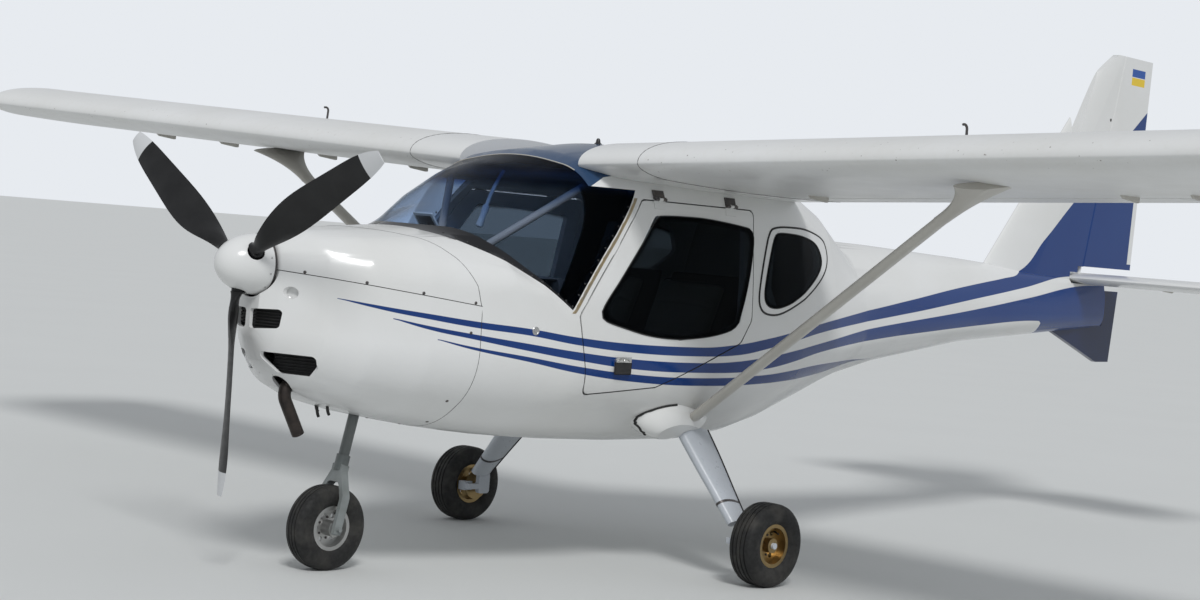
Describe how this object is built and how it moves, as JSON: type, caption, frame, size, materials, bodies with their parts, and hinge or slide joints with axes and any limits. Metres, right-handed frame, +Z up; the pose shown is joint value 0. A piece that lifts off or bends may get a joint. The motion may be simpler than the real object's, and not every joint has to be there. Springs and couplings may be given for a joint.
{
  "type": "microlight aircraft",
  "caption": "High-wing strut-braced microlight aircraft with tricycle gear, tractor propeller, glazed side-by-side cabin, gull doors and hinged control surfaces.",
  "frame": {"origin": "on the ground under the middle of the bounding box, on the centreline at mid-length", "axes": "+X aft, -X is the nose, +Y starboard, +Z up"},
  "size_m": [6.386, 9.0974, 2.616],
  "materials": {
    "alloy": "satin",
    "black_composite": "satin",
    "blue_composite": "gloss",
    "clear_glazing": "clear",
    "engine_metal": "cast",
    "exhaust_steel": "heat stained",
    "firewall_sheet": "satin",
    "grey_paint": "satin",
    "leg_composite": "gloss",
    "panel_plastic": "matt",
    "roof_tint": "gloss",
    "seat_fabric": "woven",
    "tinted_glazing": "tinted",
    "tyre_rubber": "matt",
    "white_composite": "gloss"
  },
  "bodies": {
    "fuselage": {"upper_cowl": "white_composite", "lower_cowl": "white_composite", "firewall": "firewall_sheet", "engine_block": "engine_metal", "exhaust_pipe": "exhaust_steel", "cabin_shell": "white_composite", "windscreen": "clear_glazing", "roof_panel": "roof_tint", "right_rear_window": "tinted_glazing", "left_rear_window": "tinted_glazing", "tail_boom": "blue_composite", "cabin_floor": "panel_plastic", "rear_bulkhead": "panel_plastic", "instrument_panel": "panel_plastic", "cabin_frame": "grey_paint", "right_seat": "seat_fabric", "left_seat": "seat_fabric", "right_wing_root": "white_composite", "left_wing_root": "white_composite", "right_wing": "white_composite", "left_wing": "white_composite", "tank_vents": "alloy", "right_lift_strut": "grey_paint", "left_lift_strut": "grey_paint", "right_gear_fairing": "white_composite", "left_gear_fairing": "white_composite", "right_main_gear_leg": "leg_composite", "left_main_gear_leg": "leg_composite", "nose_leg_mount": "alloy", "door_hinges": "alloy", "fin": "white_composite", "tailplane": "white_composite", "ventral_fin": "blue_composite"},
    "propeller": {"spinner": "white_composite", "propeller_hub": "alloy", "propeller_blades": "black_composite"},
    "nose_fork_body": {"nose_leg": "grey_paint", "nose_fork": "grey_paint"},
    "nose_wheel": {"nose_rim": "alloy", "nose_tyre": "tyre_rubber"},
    "rudder_body": {"rudder": "white_composite"},
    "elevator_body": {"elevator": "white_composite"},
    "right_door": {"right_door_panel": "white_composite", "right_door_window": "tinted_glazing", "right_door_latch": "alloy"},
    "right_main_wheel": {"right_main_rim": "alloy", "right_main_tyre": "tyre_rubber"},
    "right_flap_body": {"right_flap": "white_composite"},
    "right_aileron_body": {"right_aileron": "white_composite"},
    "left_door": {"left_door_panel": "white_composite", "left_door_window": "tinted_glazing", "left_door_latch": "alloy"},
    "left_main_wheel": {"left_main_rim": "alloy", "left_main_tyre": "tyre_rubber"},
    "left_flap_body": {"left_flap": "white_composite"},
    "left_aileron_body": {"left_aileron": "white_composite"}
  },
  "joints": [
    {"name": "propeller_spin", "type": "hinge", "parent": "fuselage", "child": "propeller", "pos_m": [-3.091, 0, 1.159], "axis": [1, 0, 0], "continuous": true},
    {"name": "right_main_wheel_spin", "type": "hinge", "parent": "fuselage", "child": "right_main_wheel", "pos_m": [-1.051, 0.914, 0.171], "axis": [0, 1, 0], "continuous": true},
    {"name": "left_main_wheel_spin", "type": "hinge", "parent": "fuselage", "child": "left_main_wheel", "pos_m": [-1.051, -0.914, 0.171], "axis": [0, 1, 0], "continuous": true},
    {"name": "nose_steer", "type": "hinge", "parent": "fuselage", "child": "nose_fork_body", "pos_m": [-2.598, 0, 0.164], "axis": [0.2181, 0, 0.9759], "range_deg": [-25, 25]},
    {"name": "nose_wheel_spin", "type": "hinge", "parent": "nose_fork_body", "child": "nose_wheel", "pos_m": [-2.598, 0, 0.164], "axis": [0, 1, 0], "continuous": true},
    {"name": "right_door_hinge", "type": "hinge", "parent": "fuselage", "child": "right_door", "pos_m": [-1.223, 0.54204, 1.533], "axis": [1, 0, 0], "range_deg": [0, 80]},
    {"name": "left_door_hinge", "type": "hinge", "parent": "fuselage", "child": "left_door", "pos_m": [-1.223, -0.54204, 1.533], "axis": [-1, 0, 0], "range_deg": [0, 80]},
    {"name": "right_flap_hinge", "type": "hinge", "parent": "fuselage", "child": "right_flap_body", "pos_m": [-0.76133, 1.60377, 1.68535], "axis": [0, 0.9989, 0.0462], "range_deg": [0, 38]},
    {"name": "left_flap_hinge", "type": "hinge", "parent": "fuselage", "child": "left_flap_body", "pos_m": [-0.76133, -1.60377, 1.68535], "axis": [0, 0.9989, -0.0462], "range_deg": [0, 38]},
    {"name": "right_aileron_hinge", "type": "hinge", "parent": "fuselage", "child": "right_aileron_body", "pos_m": [-0.76133, 3.20955, 1.75967], "axis": [0, 0.9989, 0.0462], "range_deg": [-20, 20]},
    {"name": "left_aileron_hinge", "type": "hinge", "parent": "fuselage", "child": "left_aileron_body", "pos_m": [-0.76133, -3.20955, 1.75967], "axis": [0, 0.9989, -0.0462], "range_deg": [-20, 20]},
    {"name": "rudder_hinge", "type": "hinge", "parent": "fuselage", "child": "rudder_body", "pos_m": [2.607, 0, 1.418], "axis": [0.2174, 0, 0.9761], "range_deg": [-25, 25]},
    {"name": "elevator_hinge", "type": "hinge", "parent": "fuselage", "child": "elevator_body", "pos_m": [2.867, 0, 1.35], "axis": [0, 1, 0], "range_deg": [-25, 20]}
  ],
  "couplings": [
    {"joint": "left_flap_hinge", "follows": "right_flap_hinge", "ratio": 1},
    {"joint": "left_aileron_hinge", "follows": "right_aileron_hinge", "ratio": -1}
  ]
}
